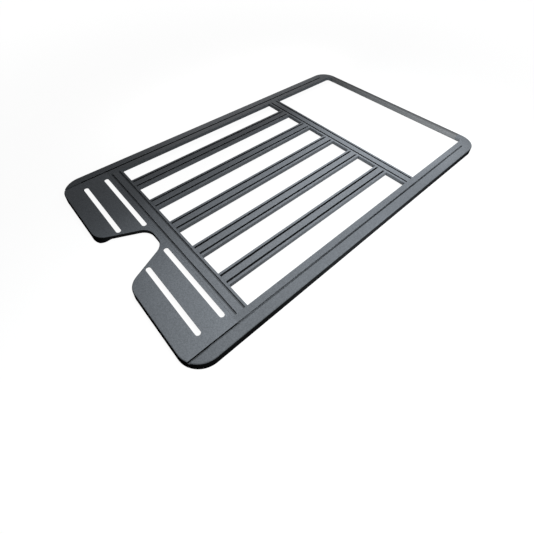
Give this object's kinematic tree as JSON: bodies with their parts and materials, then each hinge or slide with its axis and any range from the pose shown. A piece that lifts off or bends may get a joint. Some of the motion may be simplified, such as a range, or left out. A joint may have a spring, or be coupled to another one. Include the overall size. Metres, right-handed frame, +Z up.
{
  "type": "flat platform roof rack",
  "caption": "Flat vehicle roof platform of slotted slats and crossbars in a round-cornered frame, with an open sunroof bay and a notched, strap-slotted rear panel.",
  "frame": {"origin": "middle of the rack's footprint, on the underside of the side rails", "axes": "+X along the vehicle towards the open sunroof bay, +Y across to the left rail, +Z up through the deck"},
  "size_m": [2, 1.22, 0.042],
  "materials": {
    "coated_extrusion": "matte charcoal powder coat with a fine texture",
    "coated_casting": "matte charcoal powder coat over a cast corner",
    "coated_sheet": "matte charcoal powder coat on pressed sheet",
    "coated_plate": "matte dark powder coat on flat plate",
    "screw_steel": "plain stainless steel screw heads"
  },
  "bodies": {
    "root": {"left_side_rail": "coated_extrusion", "right_side_rail": "coated_extrusion", "front_rail": "coated_extrusion", "front_left_corner": "coated_casting", "front_right_corner": "coated_casting", "rear_left_corner": "coated_casting", "rear_right_corner": "coated_casting", "rear_crossbar": "coated_extrusion", "front_crossbar": "coated_extrusion", "deck_slat_1": "coated_extrusion", "deck_slat_2": "coated_extrusion", "deck_slat_3": "coated_extrusion", "deck_slat_4": "coated_extrusion", "deck_slat_5": "coated_extrusion", "rear_slat_plate_1": "coated_plate", "rear_slat_plate_2": "coated_plate", "rear_slat_plate_3": "coated_plate", "rear_slat_plate_4": "coated_plate", "rear_slat_plate_5": "coated_plate", "front_slat_plate_1": "coated_plate", "front_slat_plate_2": "coated_plate", "front_slat_plate_3": "coated_plate", "front_slat_plate_4": "coated_plate", "front_slat_plate_5": "coated_plate", "rear_left_rail_plate": "coated_plate", "rear_right_rail_plate": "coated_plate", "front_left_rail_plate": "coated_plate", "front_right_rail_plate": "coated_plate", "rear_panel": "coated_sheet"}
  },
  "joints": []
}
